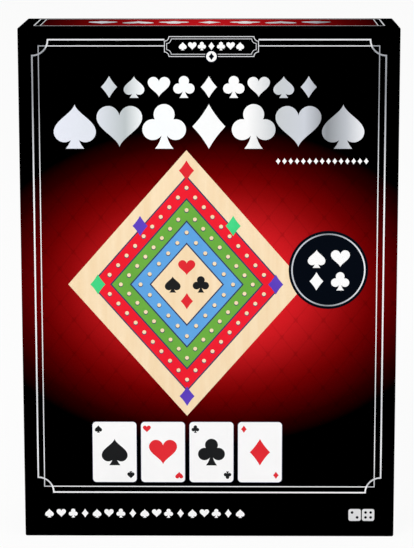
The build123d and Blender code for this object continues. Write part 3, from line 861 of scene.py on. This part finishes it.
card_inks = {name: paper_finish(name, 0.36, 0.35) for name in ("back_red", "back_white", "face_red")}
back_red = card_inks["back_red"]
x, _, z = back_red.place()
rise, fall = ((x + z) / TRELLIS).fraction(), ((x - z) / TRELLIS).fraction()
crossed = abs(rise - 0.5).ramp(0.09, 0.05) + abs(fall - 0.5).ramp(0.09, 0.05)
back_red.paint(crossed.least(1.0), "#B8141F", "#EAE7DF")
card_inks["back_white"].mottle("#E8E6DE", "#F0EEE8", 90.0)
card_inks["face_red"].mottle("#C8141F", "#D42530", 120.0)
mesh = bmesh.new()
back = PrintedFace(mesh, card_inks, (CARDS_X, CARDS_LOW.y + CARD_FRONT_GAP, CARDS_Z), (1, 0, 0), (0, 0, 1))
back.fill("back_red", 0.5, rounded(0, 0, WIDE - BACK_BORDER, TALL - BACK_BORDER, 1.5))
back.rule("back_white", 1, rounded(0, 0, WIDE - BACK_RULE, TALL - BACK_RULE, 1.0), 0.5, closed=True)
last = PrintedFace(mesh, card_inks, (CARDS_X, CARDS_HIGH.y - CARD_BACK_GAP, CARDS_Z), (-1, 0, 0), (0, 0, 1))
hearts = [(right * PIP_PLACE[0], top * PIP_PLACE[1], PIP_HEIGHT, top) for right, top in QUADRANTS]
hearts += [(-turned * INDEX_PLACE[0], turned * INDEX_PLACE[1], INDEX_HEIGHT, turned) for turned in (1, -1)]
for heart in hearts:
    suit(last, "heart", "face_red", 1, *heart)
finished("card_prints", mesh, "deck", [finish.material for finish in card_inks.values()])

band_paper = paper_finish("band_paper", 0.4, 0.3)
BAND_LOW, BAND_HIGH = limits("deck_band")
STRIPE_START, STRIPE_END = 1.6, 2.3
_, _, z = band_paper.place()
from_edge = z.within(BAND_LOW.z, BAND_HIGH.z)
stripe = from_edge.above(STRIPE_START) * from_edge.below(STRIPE_END)
band_black = band_paper.mix(band_paper.noise(900.0), "#121214", "#1C1C1F")
band_paper.paint(stripe, band_black, "#C9CCD2")
dress("deck_band", band_paper)


# ---------------- rules leaflet
# A folded sheet of uncoated paper that stands in front of the tray, with a plain double border
# round a row of suits and ruled lines.
LINES, LINE_PITCH, LINE_HALF, LAST_LINE, FIRST_LINE = 14, 6.4, 42.0, 24.0, 24.0
leaflet_paper = Surface("leaflet_paper", Roughness=0.8, Specular_IOR_Level=0.3)
leaflet_paper.bump(leaflet_paper.mottle("#DAD7CE", "#E8E5DC", 1400.0, 3.0, 0.6), 0.00003)
dress("rules_leaflet", leaflet_paper)
low, high = limits("rules_leaflet")
mesh = bmesh.new()
middle = ((low.x + high.x) / 2, low.y, (low.z + high.z) / 2)
leaf = PrintedFace(mesh, ("leaf_ink",), middle, (1, 0, 0), (0, 0, 1))
for inset, width in ((8.0, 1.0), (10.0, 0.4)):
    border = rounded(0, 0, high.x - low.x - 2 * inset, high.z - low.z - 2 * inset, 0.2)
    leaf.rule("leaf_ink", 1, border, width, closed=True)
suit_row(leaf, FOUR, "leaf_ink", 1, -25.5, 25.5, 50.0, 13.0)
for line in range(LINES):
    reach = LINE_HALF if line % 5 < 4 else LAST_LINE
    v = FIRST_LINE - line * LINE_PITCH
    leaf.rule("leaf_ink", 1, [(-LINE_HALF, v), (-LINE_HALF + 2 * reach, v)], 0.45)
leaf_ink = paper_finish("leaf_ink", 0.6, 0.2)
leaf_ink.mottle("#1C1C1E", "#323236", 500.0)
finished("leaflet_print", mesh, "leaflet", [leaf_ink.material])


# ---------------- lid wrap
# The lid's paper: black, with a red glow behind the middle of the cover and a red panel along each
# side, over which a faint trellis is printed. It is matt laminated.
SHEET_SET_BACK = 0.10
LID_LOW, LID_HIGH = limits("lid_wrap")
COVER_Y = LID_LOW.y + SHEET_SET_BACK
COVER_MIDDLE = (LID_LOW.z + LID_HIGH.z) / 2
PANEL_FRONT, PANEL_BACK = LID_LOW.y + 12.5, LID_HIGH.y - 5.0
BAR_OUTER, BAR_INNER = 7.9, 11.2
GLOW_REACH, GLOW_MIDDLE, GLOW_RISE = 128.0, 140.0, 88.0
WIRE_PITCH = 15.0

printed = paper_finish("printed_wrap", 0.7, 0.0, "lid_wrap")
x, y, z = printed.place()
from_x, from_z = x.within(LID_LOW.x, LID_HIGH.x), z.within(LID_LOW.z, LID_HIGH.z)
on_end = from_z.below(0.5)
rise = abs(((x + y + z * 0.8) / WIRE_PITCH).fraction() - 0.5)
fall = abs(((x + y * (1.0 - on_end * 2.0) - z * 0.8) / WIRE_PITCH).fraction() - 0.5)
wire = rise.ramp(0.035, 0.0) + fall.ramp(0.035, 0.0)
knots = (rise + fall).ramp(0.17, 0.13)
shade = wire.least(1.0) * 0.16 + knots * 0.1
glow = 1.0 - ((x / GLOW_REACH) ** 2.0 + ((z - GLOW_MIDDLE) / GLOW_RISE) ** 2.0) ** 0.5
cover = printed.stops(
    glow, (0.0, "#000000"), (0.1, "#250000"), (0.2, "#470001"), (0.3, "#650102"), (0.4, "#840709"),
    (0.5, "#A51014"), (0.6, "#C2181E"), (0.75, "#E01E27"), (1.0, "#F02630"))
along = from_x.most(from_z)
outside = from_x.least(from_z).below(1.0)
in_panel = y.above(PANEL_FRONT) * y.below(PANEL_BACK) * along.above(BAR_INNER) * outside
side_red = printed.stops(
    along / 110.0, (0.08, "#2C0001"), (0.25, "#560203"), (0.5, "#8E0A0D"), (0.75, "#C0151B"),
    (1.0, "#D81C24"))
cover, side_red = (printed.mix(shade, red, "#000000") for red in (cover, side_red))
sides = printed.mix(in_panel, "#000000", side_red)
worn(printed, printed.mix(y.above(LID_LOW.y + 0.6), cover, sides), "lid_wrap", 0.35)
wrap_round("lid_paper", "lid_wrap", 1, "lid", printed, SHEET_SET_BACK)


# ---------------- cover print
# The silver rules, suits and picture printed on the lid. Each colour lies as a thin flat shape just
# proud of the paper. The cover's middle holds a nested lozenge over a row of four plain cards.
INKS = {
    "silver": None, "rule": None, "white": ("#EFEFEF", "#F5F5F5"), "night": ("#00040C", "#02060F"),
    "cream": ("#E6C79A", "#F6E3C4"), "lane_red": ("#E0192A", "#EC2233"),
    "lane_green": ("#5C9C3C", "#6FAE42"), "lane_blue": ("#5596D4", "#63A6E0"),
    "outline": ("#2C3252", "#384066"), "pip_black": ("#151617", "#232425"),
    "pip_red": ("#D2232A", "#E0303A"), "violet": ("#4E34A8", "#6A4CC8"), "mint": ("#34C072", "#4CD88A"),
    "tile": ("#D2D2D3", "#DEDEDF"),
}
PIP_INKS = {"spade": "pip_black", "heart": "pip_red", "club": "pip_black", "diamond": "pip_red"}
print_mesh = bmesh.new()
front = PrintedFace(print_mesh, INKS, (0, COVER_Y, 0), (1, 0, 0), (0, 0, 1))

# Frame: a wide rule with hollow corners, crossed by a thin one with square corners, and a plaque
# that interrupts both at the top.
FRAME = (-93.8, 93.9, 25.2, 273.4)
INNER_FRAME = (-90.4, 90.4, 28.5, 270.1)
PLAQUE = (-23.5, 26.3, 264.5, 275.0)
FRAME_HOLLOW, NOTCH, UPRIGHT_RULES = 8.4, 2.4, 86.5


def hollowed(left, right, low, high, hollow, count=12):
    """A rectangle with hollow corners, from its top left corner round to the top right one."""
    outline = []
    for turn, corner in enumerate(((left, high), (left, low), (right, low), (right, high))):
        outline += arc(*corner, hollow, turn * 90, turn * 90 - 90, count)
    return outline


for edges, layer, outline, width in (
    (FRAME, 1, hollowed(*FRAME, FRAME_HOLLOW), 0.8),
    (INNER_FRAME, 1.5, hollowed(*INNER_FRAME, 0, 0), 0.5),
):
    top = edges[-1]
    front.rule("rule", layer, [(PLAQUE[0], top)] + outline + [(PLAQUE[1], top)], width)
for inset, width in ((0.0, 0.38), (1.2, 0.3)):
    edges = (edge + sign * inset for edge, sign in zip(PLAQUE, (1, -1, 1, -1)))
    front.rule("rule", 2, hollowed(*edges, NOTCH, 5), width, closed=True)
emblem = ((PLAQUE[0] + PLAQUE[1]) / 2, PLAQUE[2])
front.fill("night", 2.5, disc(*emblem, 3.5))
front.fill("white", 3, disc(*emblem, 2.8))
suit(front, "diamond", "night", 3.5, *emblem, 4.0)

# Rows of suits: in the plaque, in the title's place, under it at the right, and at the lower left.
for names, ink, start, end, v, height in (
    (SEVEN, "white", -13.8, 16.6, 270.0, 4.4),
    (["diamond"] + SEVEN + ["diamond"], "silver", -53.0, 53.0, 248.3, 11.6),
    (SEVEN, "silver", -71.5, 71.5, 227.2, 23.8),
    (["diamond"] * 15, "white", 37.0, 84.0, 208.6, 3.4),
    (FOUR * 4 + FOUR[:1], "white", -88.0, 17.0, 13.2, 5.0),
):
    suit_row(front, names, ink, 1, start, end, v, height)

# The picture: a lozenge of nested bands round a pale middle with the four suits, and markers on it.
PICTURE_X, PICTURE_Z = -12.0, 141.5
PICTURE_HALF = (64.0, 73.0)
INRADIUS = PICTURE_HALF[0] * PICTURE_HALF[1] / hypot(*PICTURE_HALF)
BANDS = (("cream", 0.0, 9.0), ("lane_red", 9.7, 17.0), ("lane_green", 17.7, 25.0), ("lane_blue", 25.7, 33.0))
MARKERS = (
    (-48, 0, "mint"), (48, 0, "violet"), (0, 62, "pip_red"), (-25, 32, "violet"), (25, 32, "mint"),
    (0, -62, "violet"),
)


def lozenge(inset):
    across, rise = (half * (1 - inset / INRADIUS) for half in PICTURE_HALF)
    return [(PICTURE_X + across * a, PICTURE_Z + rise * b) for a, b in DIAMOND]


front.fill("outline", 1, lozenge(8.9))
for name, start, end in BANDS:
    outer, inner = lozenge(start), lozenge(end)
    for i in range(4):
        front.fill(name, 1.5, [outer[i - 1], outer[i], inner[i], inner[i - 1]])
front.fill("cream", 1.5, lozenge(33.7))
for (u, v), name in zip(((-7.6, 0), (0, 9.2), (7.6, 0), (0, -9.2)), FOUR):
    suit(front, name, PIP_INKS[name], 2.5, PICTURE_X + u, PICTURE_Z + v, 9.0)
for u, v, ink in MARKERS:
    suit(front, "diamond", ink, 3.5, PICTURE_X + u, PICTURE_Z + v, 11.0)

# Four plain cards in a row under the lozenge.
CARD_PITCH, CARD_Z, CARD_SIZE, CARD_INDEX = 26.5, 48.0, (24.0, 34.0, 2.0), (8.8, 13.0)
for i, name in enumerate(FOUR):
    u = PICTURE_X + (i - 1.5) * CARD_PITCH
    wide, tall, corner = CARD_SIZE
    front.fill("outline", 2, rounded(u, CARD_Z, wide + 0.4, tall + 0.4, corner + 0.2))
    front.fill("white", 2.5, rounded(u, CARD_Z, wide, tall, corner))
    suit(front, name, PIP_INKS[name], 3.5, u, CARD_Z, 15.0)
    for turned in (1, -1):
        place = (u - turned * CARD_INDEX[0], CARD_Z + turned * CARD_INDEX[1])
        suit(front, name, PIP_INKS[name], 3.5, *place, 4.2, turned)

# Roundel with its silver ring, and two tiles of pips at the lower right.
ROUNDEL = (64.3, 149.5)
TILE_Z, TILE_SIDE, PIP_STEP = 12.5, 6.8, 1.4
front.fill("night", 2.5, disc(*ROUNDEL, 21.4, 64))
front.rule("silver", 3, disc(*ROUNDEL, 19.6, 64), 0.75, closed=True)
for (u, v), name in zip(((-6.4, 6.2), (6.4, 6.2), (6.4, -6.2), (-6.4, -6.2)), FOUR):
    suit(front, name, "white", 3.5, ROUNDEL[0] + u, ROUNDEL[1] + v, 10.0)
for u, pips in ((79.9, ((-1, 1), (1, -1))), (87.3, QUADRANTS)):
    front.fill("tile", 1, rounded(u, TILE_Z, TILE_SIDE, TILE_SIDE, 1.2))
    for right, top in pips:
        front.fill("night", 1.5, disc(u + right * PIP_STEP, TILE_Z + top * PIP_STEP, 0.75, 16))

# Side panels: two upright bars at each end, two long rules and a row of suits, upside down to a
# reader in front of the cover.
ROW_REACH, ROW_FILL, SUIT_FILL = 0.62, 0.58, 0.86
EDGE_X = LID_HIGH.x - SHEET_SET_BACK
EDGE_LOW, EDGE_HIGH = LID_LOW.z + SHEET_SET_BACK, LID_HIGH.z - SHEET_SET_BACK
for origin, along, up, half in (
    ((0, 0, EDGE_HIGH), (-1, 0, 0), (0, -1, 0), LID_HIGH.x),
    ((0, 0, EDGE_LOW), (-1, 0, 0), (0, 1, 0), LID_HIGH.x),
    ((EDGE_X, 0, COVER_MIDDLE), (0, 0, 1), (0, -1, 0), COVER_MIDDLE),
    ((-EDGE_X, 0, COVER_MIDDLE), (0, 0, -1), (0, -1, 0), COVER_MIDDLE),
):
    panel = PrintedFace(print_mesh, INKS, origin, along, up)
    near, far = sorted((PANEL_FRONT * up[1], PANEL_BACK * up[1]))
    for end in (-1, 1):
        for inset, width in ((BAR_OUTER, 0.8), (BAR_INNER, 0.55)):
            u = end * (half - inset)
            panel.rule("rule", 1, [(u, near), (u, far)], width)
    reach = half - BAR_OUTER
    for v in (near, far):
        panel.rule("rule", 1, [(-reach, v), (reach, v)], 1.3)
    spread = ROW_REACH * reach
    suit_height = min(ROW_FILL * (far - near), SUIT_FILL * spread / 3)
    suit_row(panel, SEVEN, "silver", 1, -spread, spread, (near + far) / 2, suit_height)

inks = {name: paper_finish("ink_" + name, 0.6, 0.02) for name in INKS}
for name, colours in INKS.items():
    if colours:
        grain = (240.0, 4.0, 0.6, (1, 1, 0.12)) if name == "cream" else (55.0, 2.0)
        inks[name].mottle(*colours, *grain)
# The silver ink isn't metallic: its light and dark bands across the cover and along the sides are a painted
# reflection of foil.
silver = inks["silver"]
x, _, z = silver.place()
on_side = abs(x).above(EDGE_X - 0.2)
reflection_sweep = (x / (2 * LID_HIGH.x) + 0.5) * (1.0 - on_side) + z / LID_HIGH.z * on_side
silver.set(Base_Color=silver.stops(
    reflection_sweep, (0.0, "#A9ACB2"), (0.09, "#DDE0EA"), (0.2, "#D6DAE2"), (0.28, "#B4BBBD"), (0.33, "#EEF1F2"),
    (0.6, "#F0F0F0"), (0.68, "#BFC3C6"), (0.75, "#C4C8D0"), (0.81, "#85898D"), (0.86, "#B4B8BE"),
    (0.92, "#F0F1F4"), (1.0, "#9A9DA2")))
# The rules aren't metallic either: the bands along the upright rules and the level rules' darkening towards
# the top are painted reflection.
rule = inks["rule"]
x, y, z = rule.place()
upright = abs(x).above(UPRIGHT_RULES) * y.below(LID_LOW.y + 1.0)
level_rule_reflection = rule.mix((z / LID_HIGH.z).ramp(0.2, 0.8), "#EFEFF1", "#D8D9DC")
upright_rule_reflection = rule.stops(
    z / LID_HIGH.z, (0.08, "#B9BBBF"), (0.17, "#F0F1F3"), (0.27, "#D3D5D9"), (0.42, "#EFF0F2"),
    (0.66, "#F2F3F4"), (0.77, "#C6C8CC"), (0.88, "#8F9297"), (0.96, "#9DA0A5"))
rule.paint(upright, level_rule_reflection, upright_rule_reflection)
finished("cover_print", print_mesh, "lid", [ink.material for ink in inks.values()])


# ---------------- dimples of the picture
# A row of small pale spots, each with a dark lower edge, runs along the middle of the three coloured
# bands. They are part of the print.
DOT_PITCH, DOT_RADIUS, DOT_EDGE, DOT_DROP = 7.0, 1.05, 0.2, 0.25
dimple_row = Recipe(
    "dimple_row", Half_Width="Float", Half_Height="Float", Dots="Int", Spot_Radius="Float", Middle="Vector",
    Ink="Material")
half_width, half_height, dots, spot_radius, middle, ink = dimple_row.inputs
kite = dimple_row.node("CurvePrimitiveQuadrilateral", {"mode": "KITE"}, {
    "Width": half_width * 2.0, "Top Height": half_height, "Bottom Height": half_height})
spaced = dimple_row.node("ResampleCurve", inputs={"Curve": kite, "Count": dots})
spot = dimple_row.node("MeshCircle", {"fill_type": "NGON"}, {"Vertices": 16, "Radius": spot_radius})
laid = dimple_row.node("InstanceOnPoints", inputs={"Points": spaced, "Instance": spot})
upright = {"Geometry": laid, "Translation": middle, "Rotation": (QUARTER, 0, 0)}
dimple_row.finish(dimple_row.node("Transform", inputs=upright), ink)

DOT_LAYERS = (("outline", DOT_RADIUS + DOT_EDGE, DOT_DROP, 2.0), ("cream", DOT_RADIUS, 0.0, 2.5))
rows = []
for name, start, end in BANDS[1:]:
    half = [length * (1 - (start + end) / 2 / INRADIUS) for length in PICTURE_HALF]
    count = 4 * round(hypot(*half) / DOT_PITCH)
    for ink, radius, drop, layer in DOT_LAYERS:
        middle = Vector((PICTURE_X, COVER_Y - layer * LAYER, PICTURE_Z - drop)) * MM
        rows.append(dimple_row.make(
            f"dimples_{name}_{ink}", Half_Width=half[0] * MM, Half_Height=half[1] * MM, Dots=count,
            Spot_Radius=radius * MM, Middle=middle, Ink=inks[ink].material))
joined("cover_dimples", rows, "lid")


# ---------------- studio
# A pale floor, a soft key from the front left, a fill from the right, and an even pale room. The
# camera, mirrors and glass see the floor and the room brighter than they light the box.
def direct(nodes):
    """1 for rays from the camera, a mirror or glass."""
    rays = nodes.node("LightPath").socket.node.outputs
    kinds = ("Camera", "Glossy", "Transmission")
    seen, mirrored, through = (Term(nodes, rays[f"Is {kind} Ray"]) for kind in kinds)
    return seen + mirrored + through


bpy.ops.mesh.primitive_plane_add(size=30)
floor = bpy.context.object
floor.name = "floor"
ground = Surface("floor_paint", Roughness=0.9, Specular_IOR_Level=0.1)
ground.set(Base_Color="#F8F8F8")
bright = ground.node("Emission", inputs={"Color": "#FFFFFF", "Strength": 1.0})
painted = Term(ground, ground.shader.outputs[0])
share = direct(ground).least(1.0) * 0.92
blended = ground.node("MixShader", inputs={0: share, 1: painted, 2: bright})
ground.feed(ground.tree.nodes["Material Output"].inputs[0], blended)
floor.data.materials.append(ground.material)

world = bpy.data.worlds.new("room")
world.use_nodes = True
bpy.context.scene.world = world
room = Nodes(world.node_tree)
air = room.tree.nodes["Background"]
room.feed(air.inputs[0], "#FFFFFF")
room.feed(air.inputs[1], direct(room) * 0.5 + 0.5)

AIM = (0, 0, 0.14)
for name, place, size, watts in (("key", (-1.1, -1.9, 1.5), 1.4, 33), ("fill", (1.8, -1.2, 0.9), 1.6, 12)):
    light = bpy.data.lights.new(name, "AREA")
    light.size, light.energy = size, watts
    lamp = linked(name, light)
    lamp.location = place
    lamp.rotation_euler = (Vector(AIM) - Vector(place)).to_track_quat("-Z", "Y").to_euler()

# Camera: its place is solved from the box's corners in the photograph.
CAMERA_PLACE, LENS, SENSOR = (13.89, -1247.1, 378.67), 150.74, 36.0
PITCH, YAW, ROLL = (radians(angle) for angle in (-10.782, -0.706, -0.068))
lens = bpy.data.cameras.new("camera")
lens.sensor_width, lens.lens = SENSOR, LENS
camera = linked("camera", lens)
heading = Matrix.Rotation(-YAW, 4, "Z") @ Matrix.Rotation(QUARTER + PITCH, 4, "X")
place = Matrix.Translation(Vector(CAMERA_PLACE) * MM)
camera.matrix_world = place @ heading @ Matrix.Rotation(ROLL, 4, "Z")
bpy.context.scene.camera = camera
bpy.context.scene.view_settings.view_transform = "Standard"
